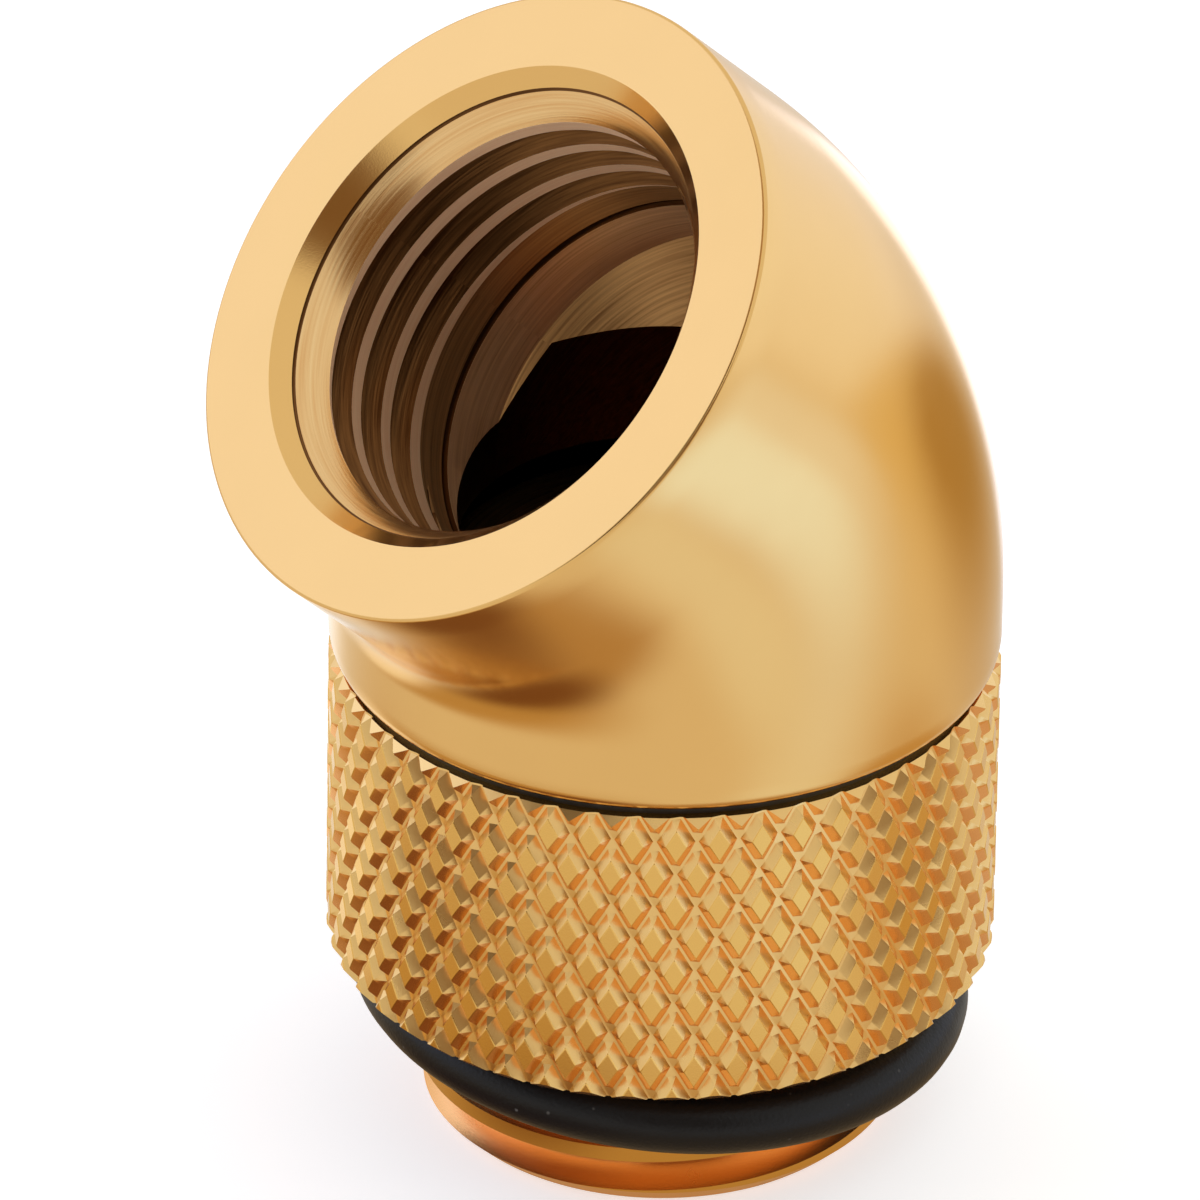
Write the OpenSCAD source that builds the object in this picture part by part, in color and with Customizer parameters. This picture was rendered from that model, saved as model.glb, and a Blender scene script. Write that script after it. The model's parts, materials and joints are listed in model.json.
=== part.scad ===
// 45 degree rotary adapter fitting, G1/4 female to G1/4 male, in millimetres.
// The origin is the centre of the collar's underside, +Z runs up the swivel axis, and the port leans towards -Y.

/* [Angled body] */
// Outside diameter of the angled body
body_d = 18; // [17.8:0.1:18.4]
// Angle between the port's axis and the swivel axis
bend_angle = 45; // [45:1:50]
// Radius of the bend, along the middle of the body
bend_r = 10.9; // [10.4:0.1:11.2]
// Height at which the two axes cross
bend_z = 15.35; // [15.2:0.05:15.8]
// Distance along the port's axis from the crossing to the face
port_reach = 8.6; // [8.4:0.1:9.4]
// Chamfer on the body's lower edge
body_chamfer = 0.4; // [0.2:0.05:0.5]
// Chamfer on the outer edge of the port's face
face_chamfer = 0.12; // [0.05:0.01:0.2]

/* [Thread form] */
// Pitch of the G1/4 pipe thread
pitch = 1.337; // [1.337]
// Width of each crest
crest_w = 0.45; // [0.35:0.05:0.5]
// Width of each root
root_w = 0.13; // [0.1:0.01:0.2]

/* [Female port] */
// Inside diameter of the port, across the thread's crests
port_minor_d = 11.7; // [11.5:0.05:11.85]
// Diameter across the roots of the port's thread
port_major_d = 13.16; // [13.157:0.001:13.3]
// Diameter of the flat countersink at the face
port_sink_d = 13.8; // [13.6:0.1:14.4]
// Diameter at the start of the lead-in cone
port_lead_d = 12.95; // [12.7:0.05:13.1]
// Depth of the flat countersink
port_sink_depth = 0.47; // [0.4:0.01:0.6]
// Depth at which the thread starts
port_thread_start = 1.34; // [1.2:0.02:1.5]
// Number of thread grooves in the port
port_grooves = 3; // [2:1:3]
// Depth of the thread relief's far end
port_relief_end = 6.68; // [6.5:0.02:6.8]
// Depth of the port bore before its drill point
port_bore_depth = 8.53; // [8.3:0.01:8.6]
// Diameter of the cross bore that comes up from below
cross_bore_d = 10.2; // [9.8:0.1:10.4]

/* [Threaded base] */
// Outside diameter of the grip collar
collar_d = 18; // [17.8:0.1:18.4]
// Height of the grip collar
collar_h = 8.9; // [8.8:0.1:9.1]
// Chamfer on both edges of the collar
collar_chamfer = 0.2; // [0.1:0.05:0.3]
// Outside diameter of the male thread
male_major_d = 13.0; // [12.91:0.01:13.15]
// Distance from the collar's underside to the end of the male thread
male_length = 5.0; // [5.0:0.1:5.4]
// Distance from the collar's underside to the upper edge of the first crest
male_first_crest = 1.75; // [1.7:0.05:1.75]
// Chamfer on the end of the male thread
male_chamfer = 0.5; // [0.3:0.05:0.5]
// Diameter of the waterway through the male thread
waterway_d = 9.0; // [8:0.1:9.2]
// Depth of the recess that takes the face seal
seal_recess = 0.3; // [0.2:0.05:0.4]
// Inside diameter of the collar's rim, outside the face seal's recess
rim_d = 17.1; // [17.0:0.05:17.2]

/* [Seals] */
// Thickness of the face seal
face_seal_w = 1.8; // [1.6:0.1:1.8]
// Inside diameter of the face seal
face_seal_id = 13.2; // [13.2:0.05:13.4]
// Thickness of each swivel seal, as squeezed between stem and socket
swivel_seal_w = 1.32; // [1.28:0.01:1.33]

/* [Swivel] */
// Diameter of the socket inside the collar
socket_d = 14.6; // [14.4:0.1:14.8]
// Height of the socket's floor
socket_floor = 2.2; // [2:0.1:2.4]
// Radial clearance between stem and socket
swivel_gap = 0.05; // [0.02:0.01:0.08]
// Bore of the stem
stem_bore_d = 9.4; // [9:0.1:9.5]
// Diameter of the stem's boss, where it is let into the angled body
boss_d = 12.2; // [11.8:0.1:12.4]
// Height of the stem's boss
boss_h = 1.75; // [1.2:0.05:1.8]
// Diameter at the floor of the seal grooves
seal_floor_d = 11.9; // [11.7:0.1:12]
// Width of each seal groove
seal_groove_w = 1.5; // [1.4:0.05:1.55]
// Thickness of the thrust washer between collar and body
thrust_t = 0.22; // [0.2:0.01:0.25]
// Outside diameter of the thrust washer
thrust_d = 17.1; // [16:0.1:17.3]
// Thickness of the bearing washer on the socket's floor
bearing_t = 0.5; // [0.3:0.05:0.5]
// Air left at each sliding face, along the axis
end_play = 0.03; // [0.02:0.01:0.05]

/* [Retaining ring] */
// Height of the retaining ring
ring_t = 0.9; // [0.7:0.05:0.9]
// Inside diameter of the retaining ring
ring_id = 12.6; // [12.5:0.05:12.6]
// Outside diameter of the retaining ring
ring_od = 15.5; // [15.2:0.1:15.6]
// Angle left open in the retaining ring
ring_split = 22; // [10:1:40]

/* [Hidden] */
$fn = 96;

over = 1; // how far a cutter runs past the face that it cuts
flank_w = (pitch - crest_w - root_w) / 2;
thread_depth = (port_major_d - port_minor_d) / 2;
drill_point_angle = 118;

body_z = collar_h + thrust_t + end_play; // height of the body's underside
bend_start = bend_z - bend_r * tan(bend_angle / 2);
bend_tail = bend_r * tan(bend_angle / 2); // distance from the crossing to each end of the bend
bend_overlap = 0.02; // degrees by which the bend runs into each straight end
bend_skin = 0.002; // how far the bend lies under the straight ends, so that their faces cross cleanly
boss_top = body_z + boss_h;

stem_d = socket_d - 2 * swivel_gap;
stem_bottom = socket_floor + bearing_t + end_play;
lower_groove_z = stem_bottom + 0.4;
upper_groove_z = lower_groove_z + seal_groove_w + 0.4;
ring_groove_z = upper_groove_z + seal_groove_w + 0.4;
stem_ring_groove_h = ring_t + 0.2;
stem_ring_groove_d = 12.4;
socket_ring_groove_d = ring_od + 0.2;
socket_lead = 0.3; // chamfer at the socket's mouth

// ---- shared shapes ----

// Carries its children to the crossing of the axes, with +Z along the port's axis.
module on_port_axis() {
    translate([0, 0, bend_z]) rotate([bend_angle, 0, 0]) children();
}

module washer(inner_d, outer_d, thickness) {
    difference() {
        cylinder(h = thickness, d = outer_d);
        translate([0, 0, -over]) cylinder(h = thickness + 2 * over, d = inner_d);
    }
}

module o_ring(inner_d, thickness) {
    rotate_extrude() translate([(inner_d + thickness) / 2, 0]) circle(d = thickness, $fn = 48);
}

// One V-shaped groove of the thread form, as [radius, z] points going down from z.
function groove_points(crest_r, root_r, z) = [
    [crest_r, z], [root_r, z - flank_w], [root_r, z - flank_w - root_w], [crest_r, z - 2 * flank_w - root_w]
];

// ---- the angled body, with the female port ----

module body_outside() {
    r = body_d / 2;
    translate([0, 0, body_z]) rotate_extrude() polygon([
        [0, 0], [r - body_chamfer, 0], [r, body_chamfer], [r, bend_start - body_z], [0, bend_start - body_z]
    ]);
    translate([0, -bend_r, bend_start]) rotate([90, 0, 90]) rotate([0, 0, -bend_overlap])
        rotate_extrude(angle = bend_angle + 2 * bend_overlap) translate([bend_r, 0]) circle(r = r - bend_skin);
    on_port_axis() rotate_extrude() polygon([
        [0, bend_tail], [r, bend_tail], [r, port_reach - face_chamfer], [r - face_chamfer, port_reach], [0, port_reach]
    ]);
}

module port_bore() {
    r = port_minor_d / 2;
    relief_start = port_thread_start + port_grooves * pitch;
    point_h = r / tan(drill_point_angle / 2);
    on_port_axis() translate([0, 0, port_reach]) rotate_extrude() polygon(concat(
        [[0, over], [port_sink_d / 2, over], [port_sink_d / 2, 0]],
        [[port_lead_d / 2, -port_sink_depth]],
        [for (i = [0:port_grooves - 1]) each groove_points(r, port_major_d / 2, -port_thread_start - i * pitch)],
        [[r, -relief_start], [r + 0.2, -relief_start - 0.2], [r + 0.2, -port_relief_end], [r, -port_relief_end]],
        [[r, -port_bore_depth], [0, -port_bore_depth - point_h]]
    ));
}

module elbow_body() {
    color([0.93, 0.72, 0.42]) difference() {
        body_outside();
        port_bore();
        translate([0, 0, body_z]) cylinder(h = bend_z - body_z, d = cross_bore_d);
        translate([0, 0, body_z - over]) cylinder(h = boss_h + over, d = boss_d);
    }
}

// ---- the stem that turns in the collar ----

module swivel_stem() {
    color([0.85, 0.64, 0.36]) difference() {
        union() {
            translate([0, 0, stem_bottom]) cylinder(h = body_z - stem_bottom, d = stem_d);
            translate([0, 0, body_z]) cylinder(h = boss_h, d = boss_d);
        }
        translate([0, 0, stem_bottom - over]) cylinder(h = boss_top - stem_bottom + 2 * over, d = stem_bore_d);
        for (z = [lower_groove_z, upper_groove_z])
            translate([0, 0, z]) washer(seal_floor_d, stem_d + over, seal_groove_w);
        translate([0, 0, ring_groove_z]) washer(stem_ring_groove_d, stem_d + over, stem_ring_groove_h);
    }
}

// ---- the knurled collar and the male thread, turned in one ----

module base_outside() {
    r = collar_d / 2;
    major = male_major_d / 2;
    root = major - thread_depth;
    groove_1 = -male_first_crest - crest_w;
    rotate_extrude() polygon(concat(
        [[0, -male_length], [major - male_chamfer, -male_length], [major, -male_length + male_chamfer]],
        [for (i = [1:-1:0]) let (g = groove_points(major, root, groove_1 - i * pitch)) each [g[3], g[2], g[1], g[0]]],
        [[major, -male_first_crest], [root, -male_first_crest + flank_w], [root, seal_recess]],
        [[rim_d / 2, seal_recess], [rim_d / 2, 0], [r - collar_chamfer, 0], [r, collar_chamfer]],
        [[r, collar_h - collar_chamfer], [r - collar_chamfer, collar_h], [0, collar_h]]
    ));
}

module socket() {
    r = socket_d / 2;
    groove_r = socket_ring_groove_d / 2;
    groove_low = ring_groove_z - 0.1;
    groove_high = ring_groove_z + stem_ring_groove_h;
    rotate_extrude() polygon([
        [0, socket_floor], [r, socket_floor], [r, groove_low], [groove_r, groove_low], [groove_r, groove_high],
        [r, groove_high], [r, collar_h - socket_lead], [r + socket_lead, collar_h], [r + socket_lead, collar_h + over],
        [0, collar_h + over]
    ]);
}

module threaded_base() {
    color([0.90, 0.68, 0.36]) difference() {
        base_outside();
        socket();
        translate([0, 0, -male_length - over]) cylinder(h = male_length + socket_floor + 2 * over, d = waterway_d);
    }
}

// ---- seals, washers and the retaining ring ----

module face_seal() {
    color([0.07, 0.07, 0.07]) translate([0, 0, seal_recess - face_seal_w / 2]) o_ring(face_seal_id, face_seal_w);
}

module swivel_seal(groove_z) {
    color([0.10, 0.10, 0.10]) translate([0, 0, groove_z + seal_groove_w / 2]) o_ring(seal_floor_d, swivel_seal_w);
}

module swivel_seal_upper() {
    swivel_seal(upper_groove_z);
}

module swivel_seal_lower() {
    swivel_seal(lower_groove_z);
}

module retaining_ring() {
    color([0.75, 0.76, 0.78]) translate([0, 0, ring_groove_z]) rotate([0, 0, 90 + ring_split / 2])
        rotate_extrude(angle = 360 - ring_split) translate([ring_id / 2, 0]) square([(ring_od - ring_id) / 2, ring_t]);
}

module thrust_washer() {
    color([0.05, 0.05, 0.05]) translate([0, 0, collar_h]) washer(socket_d + 2 * socket_lead, thrust_d, thrust_t);
}

module bearing_washer() {
    color([0.94, 0.94, 0.92]) translate([0, 0, socket_floor]) washer(stem_bore_d, stem_d - 0.2, bearing_t);
}

elbow_body();
swivel_stem();
threaded_base();
face_seal();
swivel_seal_upper();
swivel_seal_lower();
retaining_ring();
thrust_washer();
bearing_washer();
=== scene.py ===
"""A gold plated 45 degree rotary adapter: knurled collar, angled body, threaded port and face seal.

Shapes are built in millimetres, because booleans on tiny solids need the room. Each is scaled to metres once.
"""
import json
import math

import bmesh
import bpy
from mathutils import Matrix, Vector


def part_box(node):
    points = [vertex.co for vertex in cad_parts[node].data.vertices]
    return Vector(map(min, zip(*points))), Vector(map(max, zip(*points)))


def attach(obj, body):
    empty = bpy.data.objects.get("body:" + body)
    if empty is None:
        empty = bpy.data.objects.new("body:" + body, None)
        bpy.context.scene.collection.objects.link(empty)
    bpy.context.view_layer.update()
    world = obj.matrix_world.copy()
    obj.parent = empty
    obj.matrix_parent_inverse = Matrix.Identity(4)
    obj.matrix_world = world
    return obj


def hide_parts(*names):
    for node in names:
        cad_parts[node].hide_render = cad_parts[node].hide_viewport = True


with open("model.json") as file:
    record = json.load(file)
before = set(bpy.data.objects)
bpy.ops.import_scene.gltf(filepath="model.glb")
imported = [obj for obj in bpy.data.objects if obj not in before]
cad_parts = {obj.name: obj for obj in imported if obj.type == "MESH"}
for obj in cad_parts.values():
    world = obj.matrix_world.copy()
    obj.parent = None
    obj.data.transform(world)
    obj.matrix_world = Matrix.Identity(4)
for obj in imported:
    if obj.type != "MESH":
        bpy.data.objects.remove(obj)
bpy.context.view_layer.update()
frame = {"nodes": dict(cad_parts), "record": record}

MM = 0.001
SIDES = 160  # facets round a turned piece
HELIX_SIDES, HELIX_SHIFT = 151, 0.37  # a thread's facets never fall in line with those of the piece it cuts
OVER = 1  # how far a cutter reaches past the metal


# ---- sizes in millimetres, worked out from the frame ----


def box_mm(node):
    low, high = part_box(node)
    return Vector(low) / MM, Vector(high) / MM


mounts = {mount["name"]: mount for mount in frame["record"]["mounts"]}
port_face = Vector(mounts["port_face"]["pos_m"]) / MM
port_axis = Vector(mounts["port_face"]["axis"]).normalized()
port_r = mounts["female_port"]["dims"]["r_mm"]
male_r = mounts["male_thread"]["dims"]["r_mm"]

base_low, base_high = box_mm("threaded_base")
elbow_low, elbow_high = box_mm("elbow_body")
stem_high = box_mm("swivel_stem")[1]
seal_low, seal_high = box_mm("face_seal")
collar_r = base_high.x
collar_top = base_high.z
thread_end = base_low.z
body_r = elbow_high.x
body_bottom = elbow_low.z

BEND_ANGLE = math.acos(port_axis.z)
BEND_R = 10.9
port_reach = -port_face.y / math.sin(BEND_ANGLE)
bend_z = port_face.z - port_reach * math.cos(BEND_ANGLE)
bend_tail = BEND_R * math.tan(BEND_ANGLE / 2)
bend_start = bend_z - bend_tail
ON_PORT = Matrix.Translation((0, 0, bend_z)) @ Matrix.Rotation(BEND_ANGLE, 4, "X")


# ---- mesh tools ----


def arc(centre_r, centre_z, radius, start, end, steps=5):
    """Points of an arc in an outline, from one angle to another in degrees."""
    angles = [math.radians(start + (end - start) * i / steps) for i in range(steps + 1)]
    return [(centre_r + radius * math.cos(a), centre_z + radius * math.sin(a)) for a in angles]


def ring_on(place, radius, z):
    turns = [2 * math.pi * k / SIDES for k in range(SIDES)]
    return [place @ Vector((radius * math.cos(a), radius * math.sin(a), z)) for a in turns]


def new_object(name, points, faces):
    mesh = bpy.data.meshes.new(name)
    mesh.from_pydata(points, [], faces)
    obj = bpy.data.objects.new(name, mesh)
    bpy.context.scene.collection.objects.link(obj)
    return obj


def clean(obj):
    """Merges doubled points and turns every face outwards."""
    shape = bmesh.new()
    shape.from_mesh(obj.data)
    bmesh.ops.remove_doubles(shape, verts=shape.verts, dist=1e-5)
    bmesh.ops.recalc_face_normals(shape, faces=shape.faces)
    shape.to_mesh(obj.data)
    shape.free()
    return obj


def lathe(name, outline, place=Matrix()):
    """A solid turned from a closed outline of (radius, z) points. It may start and end on the axis."""
    on_axis = outline[0][0] == 0 and outline[-1][0] == 0
    points, faces = [], []
    for i in range(SIDES):
        angle = 2 * math.pi * i / SIDES
        points += [place @ Vector((r * math.cos(angle), r * math.sin(angle), z)) for r, z in outline]
    count = len(outline)
    last = count - 1 if on_axis else count
    for i in range(SIDES):
        here, there = i * count, (i + 1) % SIDES * count
        for k in range(last):
            after = (k + 1) % count
            faces.append((here + k, there + k, there + after, here + after))
    return clean(new_object(name, points, faces))


def sweep_rings(name, rings):
    """A closed solid through rings of equal count, with a flat cap at each end."""
    count = len(rings[0])
    points = [p for ring in rings for p in ring]
    faces = [tuple(range(count))[::-1], tuple(len(points) - count + k for k in range(count))]
    for i in range(len(rings) - 1):
        for k in range(count):
            after = (k + 1) % count
            faces.append((i * count + k, i * count + after, (i + 1) * count + after, (i + 1) * count + k))
    return clean(new_object(name, points, faces))


def helix_cutter(name, outline, z_at_zero, first, turns, run_out, place=Matrix()):
    """A right-handed ridge that cuts a thread.

    The outline's points are (radius, height above the ridge's middle). The ridge starts the given number of
    turns from angle 0. Over its first and last third of a turn it moves by run_out along the radius, so that
    it leaves the metal gently.
    """
    rings = []
    steps = int(turns * HELIX_SIDES)
    fade = HELIX_SIDES / 3
    for i in range(steps + 1):
        turn = first + (i + HELIX_SHIFT) / HELIX_SIDES
        angle = 2 * math.pi * turn
        z = z_at_zero + PITCH * turn
        out = run_out * max(0, 1 - min(i, steps - i) / fade)
        along = Vector((math.cos(angle), math.sin(angle), 0))
        rings.append([place @ ((r + out) * along + Vector((0, 0, z + h))) for r, h in outline])
    return sweep_rings(name, rings)


def combine(obj, tool, operation="DIFFERENCE"):
    """Cuts obj with tool, or keeps what they share, and removes the tool."""
    step = obj.modifiers.new("combine", "BOOLEAN")
    step.operation = operation
    step.object = tool
    step.solver = "EXACT"
    graph = bpy.context.evaluated_depsgraph_get()
    result = bpy.data.meshes.new_from_object(obj.evaluated_get(graph))
    obj.modifiers.clear()
    obj.data = result
    bpy.data.objects.remove(tool)
    return obj


# ---- thread form ----

PITCH = 1.337
FLANK = math.tan(math.radians(27.5))  # width of a flank for each unit of its depth
CREST_W = 0.42
THREAD_DEPTH = 0.73


def thread_ridge(crest_r, outwards):
    """Outline of the V that cuts a thread, from just past the crest to a root with broken corners."""
    past, corner = 0.25, 0.06
    half_mouth = (PITCH - CREST_W) / 2
    half_root = half_mouth - FLANK * THREAD_DEPTH
    sign = 1 if outwards else -1
    wide = half_mouth + FLANK * past
    near_root = half_root + FLANK * corner
    return [
        (crest_r - sign * past, -wide), (crest_r + sign * (THREAD_DEPTH - corner), -near_root),
        (crest_r + sign * THREAD_DEPTH, -half_root / 2), (crest_r + sign * THREAD_DEPTH, half_root / 2),
        (crest_r + sign * (THREAD_DEPTH - corner), near_root), (crest_r - sign * past, wide)
    ]


# ---- angled body with the threaded port; depths are measured from the port's face ----

SINK_R, SINK_LOW_R, SINK_DEPTH = 6.9, 6.47, 0.45
LEAD_END = 1.3
LINE = 0.05  # size of the fine undercut where the sink meets the lead-in; it takes the grooves' painted shade
RELIEF_START, RELIEF_R = 5.45, 5.95
STEP_START, STEP_END, STEP_R = 6.58, 6.71, 6.2
BORE_DEPTH = 8.53
DEEPEST = 13  # past the inside, but short of the body's far skin
DRILL_POINT = math.radians(118)
CREST_ANGLE, CREST_DEPTH = math.radians(185), 2.68  # where one crest of the port's thread passes
CROSS_BORE_R = 5.6
BOSS_R, BOSS_H = stem_high.x, stem_high.z - body_bottom
LOWER_EDGE_R, FACE_EDGE_R = 0.4, 0.12


def elbow_outside():
    low = body_bottom + LOWER_EDGE_R
    top = port_reach - FACE_EDGE_R
    straight, bend = 4, 28
    rings = [ring_on(Matrix(), r, z) for r, z in arc(body_r - LOWER_EDGE_R, low, LOWER_EDGE_R, -90, 0)]
    rings += [ring_on(Matrix(), body_r, low + (bend_start - low) * i / straight) for i in range(1, straight)]
    hinge = Matrix.Translation((0, -BEND_R, bend_start))
    for i in range(bend + 1):
        turn = Matrix.Rotation(BEND_ANGLE * i / bend, 4, "X")
        rings.append(ring_on(hinge @ turn @ Matrix.Translation((0, BEND_R, 0)), body_r, 0))
    past_bend = (top - bend_tail) / straight
    rings += [ring_on(ON_PORT, body_r, bend_tail + past_bend * i) for i in range(1, straight)]
    rings += [ring_on(ON_PORT, r, z) for r, z in arc(body_r - FACE_EDGE_R, top, FACE_EDGE_R, 0, 90)]
    return sweep_rings("elbow_shell", rings)


def port_cutter():
    point_h = port_r / math.tan(DRILL_POINT / 2)
    outline = [
        (0, OVER), (SINK_R, OVER), (SINK_R, 0), (SINK_LOW_R, -SINK_DEPTH),
        (SINK_LOW_R + LINE, -SINK_DEPTH - LINE), (SINK_LOW_R - LINE, -SINK_DEPTH - 2 * LINE),
        (port_r, -LEAD_END), (port_r, -RELIEF_START),
        (RELIEF_R, -RELIEF_START - (RELIEF_R - port_r)), (RELIEF_R, -STEP_START),
        (STEP_R, -(STEP_START + STEP_END) / 2), (port_r, -STEP_END),
        (port_r, -BORE_DEPTH), (0, -BORE_DEPTH - point_h)
    ]
    return lathe("port_cutter", [(r, port_reach + z) for r, z in outline], ON_PORT)


def drill(name, radius, top):
    """A hole from under the body up to a height, with the drill's point above it."""
    point = top + radius / math.tan(DRILL_POINT / 2)
    start = body_bottom - OVER
    return lathe(name, [(0, start), (radius, start), (radius, top), (0, point)])


def elbow():
    shell = elbow_outside()
    combine(shell, port_cutter())
    groove_z = port_reach - CREST_DEPTH - PITCH / 2 - PITCH * CREST_ANGLE / (2 * math.pi)
    ridge = thread_ridge(port_r, outwards=True)
    first, turns = -1.4, 3.65
    combine(shell, helix_cutter("port_thread", ridge, groove_z, first, turns, -THREAD_DEPTH, ON_PORT))
    combine(shell, drill("cross_bore", CROSS_BORE_R, bend_z))
    combine(shell, drill("boss_pocket", BOSS_R, body_bottom + BOSS_H))
    return shell


# ---- knurled base with the male thread ----

KNURL_STARTS = 49
KNURL_PERIOD = 2.03  # along the collar
KNURL_DEEP, KNURL_SHALLOW = 0.29, 0.23
KNURL_FLOOR, KNURL_TOP = 0.04, 0.265  # shares of the way from one groove to the next
KNURL_EDGE = (0.245, 0.275)  # where a diamond's edge is broken, as such shares
KNURL_EDGE_DEPTH = 0.03  # the broken edge is less deep than this
SOCKET_R, SOCKET_FLOOR, SOCKET_LEAD = 7.3, 2.2, 0.3
RING_GROOVE_R, RING_GROOVE_LOW, RING_GROOVE_HIGH = 7.85, 6.83, 8.03
WATERWAY_R = 4.5
RIM_R, RECESS = 8.55, 0.3
NECK_R = 5.75
END_EDGE = 0.5  # the broken edge at the thread's end
FIRST_CREST = 1.75
MALE_CREST_EDGE, MALE_CREST_ANGLE = -3.505, math.radians(-35.4)  # where one crest's lower edge passes


def knurl_depth(share, depth):
    """How deep the surface lies at a share of the way from one groove to the next."""
    from_groove = min(share, 1 - share)
    return depth * min(1, max(0, (KNURL_TOP - from_groove) / (KNURL_TOP - KNURL_FLOOR)))


def knurled_bar():
    """A bar with a diamond knurl, longer than the collar. Its grid runs along the two sets of grooves."""
    rise = [KNURL_FLOOR, *KNURL_EDGE]
    stops = [0, *rise, *(1 - share for share in reversed(rise))]
    per_cell = len(stops)
    around = KNURL_STARTS * per_cell
    cell_angle = 2 * math.pi / KNURL_STARTS
    margin, spare = 0.8, 2
    low = math.floor(-margin * 2 / KNURL_PERIOD) * per_cell
    high = math.ceil((collar_top + margin) * 2 / KNURL_PERIOD) * per_cell
    index, points, faces = {}, [], []

    def corner(i, j):
        key = (i % around, i - j)
        if key not in index:
            i_share, j_share = stops[i % per_cell], stops[j % per_cell]
            a, b = i // per_cell + i_share, j // per_cell + j_share
            r = collar_r - max(knurl_depth(i_share, KNURL_DEEP), knurl_depth(j_share, KNURL_SHALLOW))
            angle = cell_angle * (a + b) / 2
            index[key] = len(points)
            points.append(Vector((r * math.cos(angle), r * math.sin(angle), KNURL_PERIOD * (a - b) / 2)))
        return index[key]

    for i in range(around):
        for lift in range(low, high):
            j = i - lift
            faces.append((corner(i, j), corner(i + 1, j), corner(i + 1, j + 1), corner(i, j + 1)))
    for p in points:  # the lowest cells stretch down past the thread, so that the bar holds all of the base
        if p.z < -margin:
            p.z += thread_end - spare
    return close_ends(new_object("knurl", points, faces))


def close_ends(obj):
    """Closes an open sleeve with a fan to a point on the axis at each end."""
    shape = bmesh.new()
    shape.from_mesh(obj.data)
    rims = [e for e in shape.edges if e.is_boundary]
    for at_top in (False, True):
        side = [e for e in rims if (e.verts[0].co.z > 0) == at_top]
        middle = shape.verts.new((0, 0, sum(e.verts[0].co.z for e in side) / len(side)))
        for edge in side:
            shape.faces.new((*edge.verts, middle))
    bmesh.ops.recalc_face_normals(shape, faces=shape.faces)
    bmesh.ops.triangulate(shape, faces=shape.faces)
    shape.to_mesh(obj.data)
    shape.free()
    return obj


def base_blank():
    """The base turned plain, with metal left over where the knurl goes."""
    over, edge = 0.3, 0.22
    outline = [
        (WATERWAY_R, thread_end), (male_r - END_EDGE, thread_end), (male_r, thread_end + END_EDGE),
        (male_r, -FIRST_CREST), (NECK_R, -FIRST_CREST + (male_r - NECK_R) * FLANK), (NECK_R, RECESS),
        (RIM_R, RECESS), (RIM_R, 0), (collar_r - edge, 0), (collar_r + over, edge + over),
        (collar_r + over, collar_top - edge - over), (collar_r - edge, collar_top),
        (SOCKET_R + SOCKET_LEAD, collar_top), (SOCKET_R, collar_top - SOCKET_LEAD),
        (SOCKET_R, RING_GROOVE_HIGH), (RING_GROOVE_R, RING_GROOVE_HIGH), (RING_GROOVE_R, RING_GROOVE_LOW),
        (SOCKET_R, RING_GROOVE_LOW), (SOCKET_R, SOCKET_FLOOR), (WATERWAY_R, SOCKET_FLOOR)
    ]
    return lathe("knurled_base", outline)


def base():
    blank = base_blank()
    combine(blank, knurled_bar(), "INTERSECT")
    groove_z = MALE_CREST_EDGE - (PITCH - CREST_W) / 2 - PITCH * MALE_CREST_ANGLE / (2 * math.pi)
    ridge = thread_ridge(male_r, outwards=False)
    first, turns = -2, 4.2
    combine(blank, helix_cutter("male_thread", ridge, groove_z, first, turns, THREAD_DEPTH))
    return blank


# ---- face seal, which hangs loose round the neck and leans a little ----

SEAL_DROP = 1.44
SEAL_TILT, SEAL_AZIMUTH = math.radians(5.2), math.radians(54.6)  # how far it leans, and about which line


def hanging_seal():
    sides = 24
    thick = seal_high.z - seal_low.z
    lean_axis = Vector((math.sin(SEAL_AZIMUTH), -math.cos(SEAL_AZIMUTH), 0))
    hang = Matrix.Translation((0, 0, -SEAL_DROP)) @ Matrix.Rotation(-SEAL_TILT, 4, lean_axis)
    cord = arc(seal_high.x - thick / 2, 0, thick / 2, 0, 360 - 360 / sides, sides - 1)
    return lathe("face_seal_ring", cord, hang)


# ---- materials ----


def new_material(name):
    """A material with its node tree and its shader."""
    material = bpy.data.materials.new(name)
    material.use_nodes = True
    tree = material.node_tree
    return material, tree, tree.nodes["Principled BSDF"]


def node(tree, kind, values=(), **settings):
    """Adds a node. Values are numbers, or sockets to link from, by input name or place."""
    made = tree.nodes.new("ShaderNode" + kind)
    for name, value in settings.items():
        setattr(made, name, value)
    for key, value in dict(values).items():
        if isinstance(value, bpy.types.NodeSocket):
            tree.links.new(value, made.inputs[key])
        else:
            made.inputs[key].default_value = value
    return made


def math_node(tree, operation, *values):
    return node(tree, "Math", enumerate(values), operation=operation).outputs[0]


def spread(tree, value, low, high):
    """Maps 0..1 to low..high."""
    return node(tree, "MapRange", {"Value": value, "To Min": low, "To Max": high}).outputs["Result"]


def grain(tree, vector, per_mm, detail=3):
    noise = node(tree, "TexNoise", {"Vector": vector, "Scale": per_mm / MM, "Detail": detail})
    return noise.outputs["Fac"]


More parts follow.
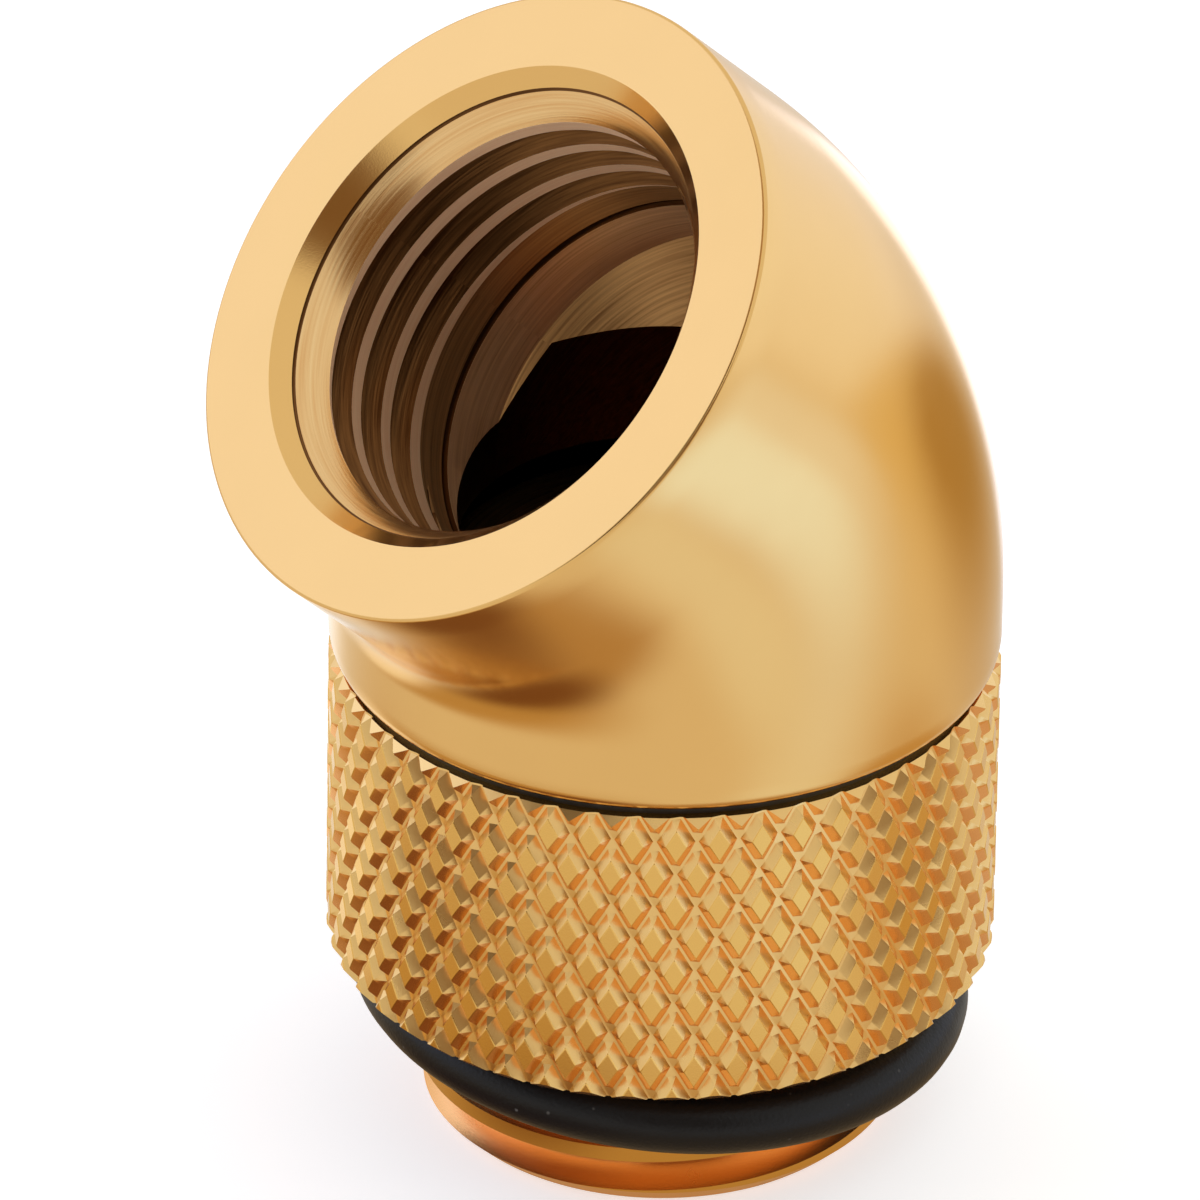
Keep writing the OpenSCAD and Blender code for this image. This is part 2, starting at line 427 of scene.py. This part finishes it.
def turned_marks(tree, place):
    """Noise drawn out round an axis, as a cutting tool leaves it."""
    across, along, usual_r = 14, 0.25, 6 * MM  # usual_r makes the angle a length
    coords = node(tree, "TexCoord").outputs["Object"]
    position, rotation, _ = place.decompose()
    local = node(tree, "Mapping", {
        "Vector": coords, "Location": position * MM, "Rotation": rotation.to_euler()
    }, vector_type="TEXTURE")
    part = node(tree, "SeparateXYZ", {0: local.outputs[0]})
    radius = math_node(tree, "SQRT", math_node(
        tree, "ADD", math_node(tree, "MULTIPLY", part.outputs[0], part.outputs[0]),
        math_node(tree, "MULTIPLY", part.outputs[1], part.outputs[1])
    ))
    turn = math_node(tree, "ARCTAN2", part.outputs[1], part.outputs[0])
    angle = math_node(tree, "MULTIPLY", turn, usual_r)
    drawn = node(tree, "CombineXYZ", {
        0: math_node(tree, "MULTIPLY", radius, across), 1: math_node(tree, "MULTIPLY", angle, along),
        2: math_node(tree, "MULTIPLY", part.outputs[2], across)
    })
    return node(tree, "TexNoise", {"Vector": drawn.outputs[0], "Scale": 1 / MM, "Detail": 4}).outputs["Fac"]


def vary(tree, shader, pattern, roughness, either_way):
    """Lets the roughness follow a pattern, by so much either way."""
    wanted = spread(tree, pattern, roughness - either_way, roughness + either_way)
    tree.links.new(wanted, shader.inputs["Roughness"])


def bump(tree, shader, height, depth_mm):
    made = node(tree, "Bump", {"Height": height, "Distance": depth_mm * MM, "Strength": 1.0})
    tree.links.new(made.outputs[0], shader.inputs["Normal"])


def gold(name, color, roughness, grain_depth):
    """Gold plate: a fine satin grain, with slow changes in how well it is polished."""
    material, tree, shader = new_material(name)
    coords = node(tree, "TexCoord").outputs["Object"]
    shader.inputs["Metallic"].default_value = 1
    tone = node(tree, "MixRGB", {
        "Fac": grain(tree, coords, 0.35, 4), "Color1": (*(c * 0.96 for c in color), 1), "Color2": (*color, 1)
    })
    tree.links.new(tone.outputs[0], shader.inputs["Base Color"])
    vary(tree, shader, grain(tree, coords, 0.8), roughness, 0.03)
    bump(tree, shader, grain(tree, coords, 22, 2), grain_depth)
    return material


def turned_metal(name, color, dark, roughness, place, metallic=1.0):
    """Metal with the tool's marks running round an axis. The less metallic it is, the duller it looks."""
    material, tree, shader = new_material(name)
    marks = turned_marks(tree, place)
    shader.inputs["Metallic"].default_value = metallic
    shader.inputs["Specular IOR Level"].default_value = 0.15
    tone = node(tree, "MixRGB", {
        "Fac": spread(tree, marks, -0.4, 1.4), "Color1": (*dark, 1), "Color2": (*color, 1)
    })
    tone.use_clamp = True
    tree.links.new(tone.outputs[0], shader.inputs["Base Color"])
    vary(tree, shader, marks, roughness, 0.06)
    bump(tree, shader, marks, 0.006)
    return material


def dusty_rubber():
    material, tree, shader = new_material("dusty_rubber")
    coords = node(tree, "TexCoord").outputs["Object"]
    specks = node(tree, "TexVoronoi", {"Vector": coords, "Scale": 2.2 / MM, "Randomness": 1.0})
    speck = node(tree, "MapRange", {
        "Value": specks.outputs["Distance"], "From Min": 0.05, "From Max": 0.14, "To Min": 1, "To Max": 0
    }).outputs["Result"]
    patches = node(tree, "MapRange", {
        "Value": grain(tree, coords, 0.9), "From Min": 0.5, "From Max": 0.62
    }).outputs["Result"]
    dust = math_node(tree, "MULTIPLY", speck, patches)
    black, dusty = (0.006, 0.006, 0.007, 1), (0.09, 0.085, 0.08, 1)
    tone = node(tree, "MixRGB", {"Fac": dust, "Color1": black, "Color2": dusty})
    tree.links.new(tone.outputs[0], shader.inputs["Base Color"])
    vary(tree, shader, grain(tree, coords, 1.2), 0.38, 0.08)
    shader.inputs["Specular IOR Level"].default_value = 0.3
    bump(tree, shader, grain(tree, coords, 9), 0.012)
    return material


def plain_plastic(name, color, roughness):
    material, tree, shader = new_material(name)
    coords = node(tree, "TexCoord").outputs["Object"]
    shader.inputs["Base Color"].default_value = (*color, 1)
    vary(tree, shader, grain(tree, coords, 3), roughness, 0.08)
    bump(tree, shader, grain(tree, coords, 12), 0.004)
    return material


# ---- the pieces ----


def dress(obj, materials, body, slot, *nodes):
    """Smooths a piece between its real edges, gives it its materials, and ties it to the frame."""
    obj.data.transform(Matrix.Scale(MM, 4))
    obj.data.shade_smooth()
    obj.data.set_sharp_from_angle(angle=math.radians(30))
    obj.data.materials.clear()
    for material in materials:
        obj.data.materials.append(material)
    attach(obj, body)
    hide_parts(*nodes)
    return obj


NEAR = 0.02  # how far a face's middle may lie from the radius that its zone is named for


def paint(obj, place, index, wanted):
    """Gives a material to the faces for which wanted(radius, height, slope) holds.

    Radius and height are a face's place round and along an axis. Slope is 1 where it looks along the axis,
    and 0 where it looks across it.
    """
    axis = place.to_3x3() @ Vector((0, 0, 1))
    back_to_axis = place.inverted()
    for face in obj.data.polygons:
        local = back_to_axis @ (face.center / MM)
        if wanted(math.hypot(local.x, local.y), local.z, face.normal.dot(axis)):
            face.material_index = index


def paint_port(obj):
    """Picks out lead-in, thread crests, grooves with painted shade, relief, plain bore, drill cone and the
    depths beyond with painted shade.
    """
    def zone(index, start, end, narrowest, widest, flattest=-1.0, steepest=1.0):
        paint(obj, ON_PORT, index, lambda radius, height, slope: (
            start < port_reach - height < end and narrowest < radius < widest and flattest < slope < steepest
        ))

    lead_in_slope, cone_slope = (0.45, 0.78), 0.8
    # Painted shade: near-black in the cross-bore and the boss pocket, then in the port's thread grooves, its
    # fine undercut, its narrow step groove and past its plain bore.
    paint(obj, Matrix(), PAINTED_SHADE_DEPTHS, lambda radius, height, slope: radius < BOSS_R + NEAR and height < bend_z)
    zone(PAINTED_SHADE_PORT_GROOVE, SINK_DEPTH, STEP_END, port_r + NEAR, port_r + THREAD_DEPTH + NEAR)
    zone(RELIEF, RELIEF_START, STEP_START, port_r + NEAR, RELIEF_R + NEAR)
    zone(LEAD_IN, SINK_DEPTH, LEAD_END, port_r, SINK_LOW_R, *lead_in_slope)
    zone(THREAD_CREST, LEAD_END, STEP_END, 0, port_r + NEAR)
    zone(PLAIN_BORE, STEP_END, BORE_DEPTH, 0, port_r + NEAR)
    zone(PAINTED_SHADE_DEPTHS, BORE_DEPTH, DEEPEST, 0, port_r)
    zone(DRILL_CONE, BORE_DEPTH, DEEPEST, 0, port_r, cone_slope)


def paint_base(obj):
    """Picks out the walls of the knurl's grooves with a paler painted light, those that look down apart with
    a deeper orange painted shade, and the thread's grooves with that same painted shade.
    """
    def knurl_zone(index, flattest, steepest):
        paint(obj, Matrix(), index, lambda radius, height, slope: (
            0 < height < collar_top and collar_r - KNURL_DEEP - NEAR < radius < collar_r - KNURL_EDGE_DEPTH
            and flattest <= slope < steepest
        ))

    looks_down, end_face = -0.15, 0.9
    knurl_zone(PAINTED_LIGHT_KNURL_WALL, looks_down, end_face)
    knurl_zone(PAINTED_SHADE_BASE_GROOVE, -end_face, looks_down)
    paint(obj, Matrix(), PAINTED_SHADE_BASE_GROOVE, lambda radius, height, slope: (
        height < -FIRST_CREST and NECK_R - NEAR < radius < male_r - NEAR and abs(slope) < end_face
    ))


LEAD_IN, THREAD_CREST, PAINTED_SHADE_PORT_GROOVE, RELIEF, PLAIN_BORE, DRILL_CONE, PAINTED_SHADE_DEPTHS = range(1, 8)
port_metals = [
    gold("gold_plate_smooth", (0.90, 0.56, 0.20), 0.17, 0.0012),
    turned_metal("lead_in_gold", (0.98, 0.70, 0.35), (0.80, 0.46, 0.18), 0.22, ON_PORT),
    turned_metal("thread_crest_bronze", (1.0, 0.72, 0.48), (0.90, 0.56, 0.34), 0.42, ON_PORT, 0.15),
    # painted shade in the port's thread grooves, fine undercut and step groove
    turned_metal("port_groove_painted_shade", (0.26, 0.115, 0.036), (0.07, 0.026, 0.007), 0.32, ON_PORT, 0.9),
    turned_metal("relief_bronze", (0.60, 0.34, 0.14), (0.28, 0.14, 0.05), 0.36, ON_PORT, 0.5),
    turned_metal("plain_bore_bronze", (1.0, 0.66, 0.38), (0.60, 0.34, 0.16), 0.36, ON_PORT, 0.35),
    turned_metal("drill_cone_bronze", (0.80, 0.46, 0.18), (0.30, 0.14, 0.05), 0.36, ON_PORT),
    # painted shade in the port's depths, the cross-bore and the boss pocket
    turned_metal("bore_depths_painted_shade", (0.06, 0.03, 0.015), (0.02, 0.01, 0.005), 0.35, ON_PORT),
]
PAINTED_LIGHT_KNURL_WALL, PAINTED_SHADE_BASE_GROOVE = 1, 2
base_golds = [
    gold("knurl_gold", (0.93, 0.58, 0.17), 0.22, 0.002),
    # painted light: a paler gold for the knurl walls that don't look down
    gold("knurl_wall_painted_light_gold", (0.95, 0.63, 0.24), 0.28, 0.002),
    # painted shade: a deeper orange for the knurl walls that look down and for the male thread's grooves
    gold("groove_painted_shade_gold", (1.0, 0.53, 0.20), 0.26, 0.002),
]

paint_port(dress(elbow(), port_metals, "elbow", "gold_plate", "elbow_body"))
paint_base(dress(base(), base_golds, "base", "gold_plate_knurled", "threaded_base"))
dress(hanging_seal(), [dusty_rubber()], "base", "seal_rubber", "face_seal")

carried_over = {
    "swivel_stem": turned_metal("turned_brass", (0.78, 0.50, 0.20), (0.5, 0.3, 0.1), 0.32, Matrix()),
    "swivel_seal_upper": dusty_rubber(),
    "swivel_seal_lower": dusty_rubber(),
    "retaining_ring": turned_metal("spring_steel", (0.6, 0.61, 0.63), (0.4, 0.41, 0.43), 0.3, Matrix()),
    # Black for the thin washer that shows as a dark line between the collar and the body.
    "thrust_washer": plain_plastic("black_washer_plastic", (0.012, 0.012, 0.012), 0.4),
    "bearing_washer": plain_plastic("white_ptfe", (0.8, 0.8, 0.77), 0.5),
}
for name, material in carried_over.items():
    frame["nodes"][name].material_slots[0].material = material


# ---- camera ----

CAMERA_AZIMUTH, CAMERA_ELEVATION, CAMERA_ROLL = (math.radians(v) for v in (54.6, 32.1, -0.9))


def direction(azimuth, elevation):
    """Unit vector towards an azimuth and elevation in radians. Azimuth 0 is -Y, and it grows towards +X."""
    return Vector((
        math.sin(azimuth) * math.cos(elevation), -math.cos(azimuth) * math.cos(elevation), math.sin(elevation)
    ))


def make_camera():
    distance, view_width = 534.2, 32.10
    target, shift_left, shift_up = Vector((0, 0, 8)), 1.720, 1.854
    back = direction(CAMERA_AZIMUTH, CAMERA_ELEVATION)
    level = Vector((math.cos(CAMERA_AZIMUTH), math.sin(CAMERA_AZIMUTH), 0))
    roll = Matrix.Rotation(-CAMERA_ROLL, 3, back)
    right, up = roll @ level, roll @ back.cross(level)
    aim = target - shift_left * right + shift_up * up
    camera = bpy.data.objects.new("camera", bpy.data.cameras.new("camera"))
    bpy.context.scene.collection.objects.link(camera)
    bpy.context.scene.camera = camera
    camera.data.lens = camera.data.sensor_width * distance / view_width
    turned = Matrix((right, up, back)).transposed().to_4x4()
    camera.matrix_world = Matrix.Translation((aim + back * distance) * MM) @ turned


# ---- studio: a soft surround and a lit table, both seen in the metal, and a pale floor ----

SURROUND = (0.82, 0.80, 0.76)
PANELS = [
    # azimuth, elevation, half width, half height, softness in degrees, colour
    (-52, 26, 34, 24, 14, (1.06, 1.15, 1.52)),  # main softbox, which the port's face reflects
    (-15, 68, 50, 16, 16, (0.42, 0.27, 0.14)),  # dark ceiling ahead of the port
    (16, 44, 18, 26, 14, (0.05, 0.03, 0.02)),
    (68, 24, 24, 22, 12, (0.20, 0.12, 0.06)),  # the dark behind the camera
    (178, 3, 40, 8, 7, (1.0, 1.08, 1.3)),
]

TABLE_GAP = 0.02  # mm, so that the thread's end and the table never share a plane
TABLE = (0.79, 0.75, 0.69)
PATCHES = [
    # centre x, y, half width, half length in mm, turn in degrees, softness as a share, colour
    (40, 560, 600, 440, 0, 0.2, (0.98, 1.04, 1.22)),  # the far side
    (28, 108, 36, 66, -12, 0.5, (0.82, 0.68, 0.38)),  # warm shadow behind the piece, and its core
    (4, 78, 22, 46, -6, 0.5, (0.47, 0.31, 0.11)),
    (62, 56, 17, 50, -25, 0.5, (0.92, 1.02, 1.28)),  # lit strip on the right, and its brightest part
    (49, 27, 11, 24, -25, 0.35, (0.98, 1.26, 1.85)),
    (27, 1, 7, 7, 0, 0.6, (0.87, 0.93, 1.02)),
    (-44, 68, 11, 52, 33, 0.25, (1.5, 1.6, 1.9)),  # lit strip on the left
    (-26, 5, 9, 12, 0, 0.5, (1.15, 1.2, 1.25)),
    (16, 16, 9, 8, 0, 0.5, (0.60, 0.40, 0.17)),  # shade close to the collar
    (4, -2, 13, 12, 0, 0.25, (0.50, 0.33, 0.16)),
    (-3, -17, 17, 8, 0, 0.5, (0.55, 0.37, 0.16)),  # shade under the port, a glint beside it, and its core
    (-16, -12, 6, 6, 0, 0.5, (1.05, 1.02, 0.95)),
    (3, -12, 8, 4, 0, 0.5, (0.20, 0.09, 0.035)),
]


def masked(tree, mask, light, color):
    return node(tree, "MixRGB", {"Fac": mask, "Color1": light, "Color2": (*color, 1)}).outputs[0]


def fade(tree, value, edge, soft):
    """1 below an edge, 0 above it, with a smooth step between."""
    ends = {"Value": value, "From Min": edge + soft / 2, "From Max": edge - soft / 2}
    return node(tree, "MapRange", ends, interpolation_type="SMOOTHSTEP").outputs["Result"]


def panel_mask(tree, azimuth, elevation, where, half, soft):
    """1 inside a soft-edged window of the surround, and 0 outside it."""
    turned = math_node(tree, "SUBTRACT", azimuth, math.radians(where[0]))
    across = math_node(tree, "WRAP", turned, math.pi, -math.pi)
    along = math_node(tree, "SUBTRACT", elevation, math.radians(where[1]))
    masks = [
        fade(tree, math_node(tree, "ABSOLUTE", offset), math.radians(reach), math.radians(soft))
        for offset, reach in zip((across, along), half)
    ]
    return math_node(tree, "MULTIPLY", *masks)


def make_surround():
    world = bpy.data.worlds.new("studio")
    bpy.context.scene.world = world
    world.use_nodes = True
    tree = world.node_tree
    part = node(tree, "SeparateXYZ", {0: node(tree, "TexCoord").outputs["Generated"]})
    toward_port = math_node(tree, "MULTIPLY", part.outputs[1], -1)
    azimuth = math_node(tree, "ARCTAN2", part.outputs[0], toward_port)
    elevation = math_node(tree, "ARCSINE", part.outputs[2])
    light = (*SURROUND, 1)
    for az, el, half_width, half_height, soft, color in PANELS:
        mask = panel_mask(tree, azimuth, elevation, (az, el), (half_width, half_height), soft)
        light = masked(tree, mask, light, color)
    tree.links.new(light, tree.nodes["Background"].inputs["Color"])


def table_plane(name):
    corners = [(-1, -1, 0), (1, -1, 0), (1, 1, 0), (-1, 1, 0)]
    plane = new_object(name, corners, [(0, 1, 2, 3)])
    plane.location.z = (thread_end - TABLE_GAP) * MM
    return plane


def make_reflected_table():
    """The table as the metal reflects it: lit strips, the warm shadow and the shade under the port."""
    table = table_plane("reflected_table")
    table.visible_camera = table.visible_diffuse = table.visible_shadow = False
    material, tree, shader = new_material("lit_table")
    coords = node(tree, "TexCoord").outputs["Object"]
    light = (*TABLE, 1)
    for x, y, half_width, half_length, turn, soft, color in PATCHES:
        spot = node(tree, "Mapping", {
            "Vector": coords, "Location": (x * MM, y * MM, 0), "Rotation": (0, 0, math.radians(turn)),
            "Scale": (half_width * MM, half_length * MM, 1)
        }, vector_type="TEXTURE")
        reach = node(tree, "VectorMath", {0: spot.outputs[0]}, operation="LENGTH").outputs["Value"]
        light = masked(tree, fade(tree, reach, 1, 2 * soft), light, color)
    shader.inputs["Base Color"].default_value = (0, 0, 0, 1)
    shader.inputs["Specular IOR Level"].default_value = 0
    shader.inputs["Emission Strength"].default_value = 1
    tree.links.new(light, shader.inputs["Emission Color"])
    table.data.materials.append(material)


def make_floor():
    floor = table_plane("floor")
    floor.visible_glossy = False
    material, tree, shader = new_material("pale_floor")
    shader.inputs["Base Color"].default_value = (0.8, 0.8, 0.8, 1)
    shader.inputs["Roughness"].default_value = 0.9
    shader.inputs["Emission Color"].default_value = (0.95, 0.97, 1.0, 1)
    shader.inputs["Emission Strength"].default_value = 0.6
    floor.data.materials.append(material)


make_camera()
make_surround()
make_reflected_table()
make_floor()
bpy.context.scene.view_settings.view_transform = "Standard"
